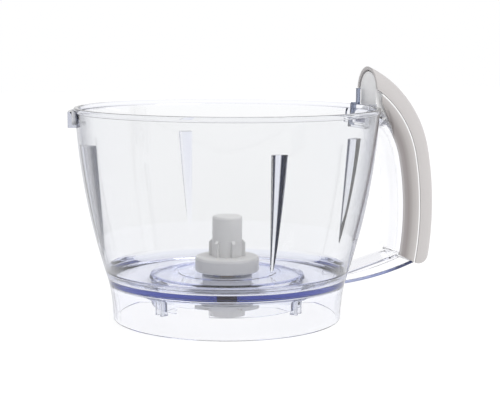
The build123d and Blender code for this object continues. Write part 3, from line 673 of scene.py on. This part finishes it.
# %% Arm edge: pale blue near the bowl, navy at the heel
def blue_edge(name):
    """Tint that deepens from pale blue to navy with the distance from the axis: the blue body colour seen
    edgeways, deepened to navy as painted shade.
    """
    material = clear_plastic(name, (0.5, 0.5, 0.5), (0.1, 0.1, 0.1), 0.5, 0.9, 6.0)
    tree, shader = material.node_tree, material.node_tree.nodes["Principled BSDF"]
    shader.inputs["Transmission Weight"].default_value = 0.5
    place = tree.nodes.new("ShaderNodeTexCoord")
    split = tree.nodes.new("ShaderNodeSeparateXYZ")
    span = tree.nodes.new("ShaderNodeMapRange")
    span.inputs["From Min"].default_value, span.inputs["From Max"].default_value = 0.085, 0.138
    tint = tree.nodes.new("ShaderNodeValToRGB")
    tint.color_ramp.elements[0].color = (0.50, 0.55, 0.80, 1)
    tint.color_ramp.elements[1].color = (0.045, 0.06, 0.16, 1)
    middle = tint.color_ramp.elements.new(0.55)
    middle.color = (0.30, 0.35, 0.62, 1)
    dark_from = tint.color_ramp.elements.new(0.72)
    dark_from.color = (0.06, 0.08, 0.20, 1)
    tree.links.new(place.outputs["Object"], split.inputs["Vector"])
    tree.links.new(split.outputs["X"], span.inputs["Value"])
    tree.links.new(span.outputs["Result"], tint.inputs["Fac"])
    tree.links.new(tint.outputs["Color"], shader.inputs["Base Color"])
    return material


dress(arm_edge, blue_edge("blue_edge"))

# %% [markdown]
# ## Moulded plastics, metals and rubber
#
# Moulded plastic is nearly one colour. What makes it look real is a slow drift of tone from
# how the melt flowed and a fine spark-eroded grain in its skin. Metal gets the fine turning
# marks of a lathe, and rubber a dull, slightly rough skin.

# %% Moulded plastic
DRIFT_SCALE, GRAIN_SCALE, GRAIN_HEIGHT = 40, 2600, 0.0002


def moulded(name, colour, roughness, grain=0.02):
    """Moulded plastic: slow colour drift and a fine grain in the surface."""
    material, tree, shader = new_material(name)
    shader.inputs["Roughness"].default_value = roughness
    place = tree.nodes.new("ShaderNodeTexCoord")
    drift = tree.nodes.new("ShaderNodeTexNoise")
    drift.inputs["Scale"].default_value = DRIFT_SCALE
    tree.links.new(place.outputs["Object"], drift.inputs["Vector"])
    ramp = tree.nodes.new("ShaderNodeValToRGB")
    ramp.color_ramp.elements[0].color = (*[c * 0.97 for c in colour], 1)
    ramp.color_ramp.elements[1].color = (*[min(1, c * 1.02) for c in colour], 1)
    tree.links.new(drift.outputs["Fac"], ramp.inputs["Fac"])
    tree.links.new(ramp.outputs["Color"], shader.inputs["Base Color"])
    fine = tree.nodes.new("ShaderNodeTexNoise")
    fine.inputs["Scale"].default_value = GRAIN_SCALE
    tree.links.new(place.outputs["Object"], fine.inputs["Vector"])
    bump = tree.nodes.new("ShaderNodeBump")
    bump.inputs["Strength"].default_value = grain
    bump.inputs["Distance"].default_value = GRAIN_HEIGHT
    tree.links.new(fine.outputs["Fac"], bump.inputs["Height"])
    tree.links.new(bump.outputs["Normal"], shader.inputs["Normal"])
    return material


cover_white = moulded("cover_white", (0.545, 0.522, 0.515), 0.42)
spindle_white = moulded("spindle_white", (0.68, 0.675, 0.67), 0.4)
nylon_cream = moulded("nylon_cream", (0.62, 0.58, 0.50), 0.5)
rubber_black = moulded("rubber_black", (0.025, 0.025, 0.027), 0.7, 0.06)


# %% Grey plastic of the liner, with painted highlight and shade by its depth from the seam
def liner_painted_light(name, shades):
    """Moulded plastic whose colour follows the liner's depth attribute through a list of (depth, colour),
    painting highlight and shade.
    """
    material = moulded(name, (0.5, 0.5, 0.5), 0.45)
    tree, shader = material.node_tree, material.node_tree.nodes["Principled BSDF"]
    depth_read = tree.nodes.new("ShaderNodeAttribute")
    depth_read.attribute_name = "painted_light_depth"
    shade = tree.nodes.new("ShaderNodeValToRGB")
    for number, (place, colour) in enumerate(shades):
        stop = shade.color_ramp.elements[number] if number < 2 else shade.color_ramp.elements.new(place)
        stop.position, stop.color = place, (*colour, 1)
    tree.links.new(depth_read.outputs["Fac"], shade.inputs["Fac"])
    tree.links.new(shade.outputs["Color"], shader.inputs["Base Color"])
    return material


# Painted light and shade along the depth: white at the seam for a painted highlight on the lip, darker bands
# for painted shade in the hollow of the side, lighter again towards the deep edge; the grey between is the
# liner's own.
LINER_PAINTED_HIGHLIGHT_AND_SHADE = ((0.0, (1.0, 1.0, 1.0)), (1.0, (0.58, 0.56, 0.56)), (0.08, (0.97, 0.97, 0.97)),
                (0.12, (0.54, 0.515, 0.505)), (0.45, (0.44, 0.415, 0.405)),
                (0.70, (0.315, 0.285, 0.28)), (0.88, (0.36, 0.33, 0.33)))
liner_grey = liner_painted_light("liner_grey", LINER_PAINTED_HIGHLIGHT_AND_SHADE)
dress(liner, liner_grey)


# %% Frosted plastic of the plug in the handle's mouth
def frosted(name, colour):
    """Half-clear plastic with a fine rough skin: light goes in and comes out spread."""
    material = moulded(name, colour, 0.5, 0.05)
    shader = material.node_tree.nodes["Principled BSDF"]
    shader.inputs["Transmission Weight"].default_value = 0.05
    shader.inputs["IOR"].default_value = 1.5
    return material


plug_frost = frosted("plug_frost", (1.0, 0.995, 0.99))


# %% Turned metal
LATHE_SCALE, LATHE_WAVER, LATHE_HEIGHT = 900, 1.5, 0.0001


def turned_metal(name, colour, roughness):
    """Metal with fine rings round the axis: a wave of the height, broken up by noise."""
    material, tree, shader = new_material(name)
    shader.inputs["Base Color"].default_value = (*colour, 1)
    shader.inputs["Metallic"].default_value = 1.0
    place = tree.nodes.new("ShaderNodeTexCoord")
    marks = tree.nodes.new("ShaderNodeTexWave")
    marks.wave_type, marks.bands_direction = "BANDS", "Z"
    marks.inputs["Scale"].default_value = LATHE_SCALE
    marks.inputs["Distortion"].default_value = LATHE_WAVER
    tree.links.new(place.outputs["Object"], marks.inputs["Vector"])
    rough = tree.nodes.new("ShaderNodeMapRange")
    rough.inputs["To Min"].default_value = roughness - 0.06
    rough.inputs["To Max"].default_value = roughness + 0.08
    tree.links.new(marks.outputs["Fac"], rough.inputs["Value"])
    tree.links.new(rough.outputs["Result"], shader.inputs["Roughness"])
    bump = tree.nodes.new("ShaderNodeBump")
    bump.inputs["Strength"].default_value = 0.05
    bump.inputs["Distance"].default_value = LATHE_HEIGHT
    tree.links.new(marks.outputs["Fac"], bump.inputs["Height"])
    tree.links.new(bump.outputs["Normal"], shader.inputs["Normal"])
    return material


steel_bright = turned_metal("steel_bright", (0.62, 0.62, 0.63), 0.28)
bronze_sintered = turned_metal("bronze_sintered", (0.52, 0.34, 0.16), 0.42)

# %% Dress the opaque pieces
finishes = {cover_white: ("handle_cover",), plug_frost: ("mouth_plug",),
            spindle_white: ("drive_spindle", "drive_coupling"), nylon_cream: ("thrust_washer",),
            steel_bright: ("drive_shaft", "liner_screws", "retaining_clip"), bronze_sintered: ("shaft_bush",),
            rubber_black: ("shaft_seal",)}
for material, nodes in finishes.items():
    for node in nodes:
        dress(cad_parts[node], material)
print("dressed", sum(len(nodes) for nodes in finishes.values()), "CAD pieces")

# %% [markdown]
# ## Floor, light and camera
#
# The floor is white and gives out most of its own light, so it merges with the surroundings.
# The sky is bright near the horizon and overhead with a greyer band between, which gives the
# clear walls something to show at their edges. The camera stands low, with a long lens.

# %% Floor
floor_mesh = bpy.data.meshes.new("studio_floor")
FLOOR_HALF, FLOOR_DROP = 3.0, 0.0002
corners_of_floor = [(x * FLOOR_HALF, y * FLOOR_HALF, 0) for x, y in ((-1, -1), (1, -1), (1, 1), (-1, 1))]
floor_mesh.from_pydata(corners_of_floor, [], [(0, 1, 2, 3)])
studio_floor = bpy.data.objects.new("studio_floor", floor_mesh)
bpy.context.scene.collection.objects.link(studio_floor)
studio_floor.location.z = -FLOOR_DROP
floor_white, _, floor_shader = new_material("floor_white")
floor_shader.inputs["Base Color"].default_value = (0.16, 0.16, 0.16, 1)
floor_shader.inputs["Roughness"].default_value = 0.9
floor_shader.inputs["Emission Color"].default_value = (1, 1, 1, 1)
floor_shader.inputs["Emission Strength"].default_value = 0.87
floor_mesh.materials.append(floor_white)

# %% World
world = bpy.data.worlds.new("studio")
bpy.context.scene.world = world
world.use_nodes = True
sky_tree = world.node_tree
direction = sky_tree.nodes.new("ShaderNodeTexCoord")
parts = sky_tree.nodes.new("ShaderNodeSeparateXYZ")
sky = sky_tree.nodes.new("ShaderNodeValToRGB")
for position, level in ((0.0, 1.0), (0.16, 1.0), (0.32, 0.55), (0.60, 0.55), (0.80, 1.3)):
    stop = sky.color_ramp.elements[0] if position == 0 else sky.color_ramp.elements.new(position)
    stop.position, stop.color = position, (level, level, level * 1.01, 1)
sky.color_ramp.elements[-1].color = (1.3, 1.3, 1.31, 1)
sky_tree.links.new(direction.outputs["Generated"], parts.inputs["Vector"])
sky_tree.links.new(parts.outputs["Z"], sky.inputs["Fac"])
sky_tree.links.new(sky.outputs["Color"], sky_tree.nodes["Background"].inputs["Color"])
sky_tree.nodes["Background"].inputs["Strength"].default_value = 1.0
bpy.context.scene.view_settings.view_transform = "Standard"

# %% Key light, high on the right
lamp_data = bpy.data.lights.new("key_light", "AREA")
lamp_data.shape, lamp_data.size, lamp_data.energy = "DISK", 0.9, 8.0
lamp = bpy.data.objects.new("key_light", lamp_data)
lamp.location = (0.55, -0.95, 1.35)
lamp.rotation_euler = (Vector((0.0, 0.0, 0.05)) - lamp.location).to_track_quat("-Z", "Y").to_euler()
bpy.context.scene.collection.objects.link(lamp)

# %% Camera
AZIMUTH, DISTANCE, EYE_HEIGHT = -21.0, 0.8608, 0.1911
PITCH, YAW, ROLL, LENS = 0.1305, 0.01755, 0.00566, 93.75
camera_data = bpy.data.cameras.new("camera")
camera_data.lens = LENS
camera_data.sensor_width = 36
camera_data.clip_start = 0.01
camera = bpy.data.objects.new("camera", camera_data)
bpy.context.scene.collection.objects.link(camera)
ahead = Vector((-math.sin(math.radians(AZIMUTH)), math.cos(math.radians(AZIMUTH)), 0))
level = Matrix.Rotation(math.radians(AZIMUTH) - YAW, 4, "Z")
tilt = Matrix.Rotation(math.pi / 2 - PITCH, 4, "X")
roll = Matrix.Rotation(ROLL, 4, "Z")
camera.matrix_world = Matrix.Translation(-ahead * DISTANCE + Vector((0, 0, EYE_HEIGHT))) @ level @ tilt @ roll
bpy.context.scene.camera = camera
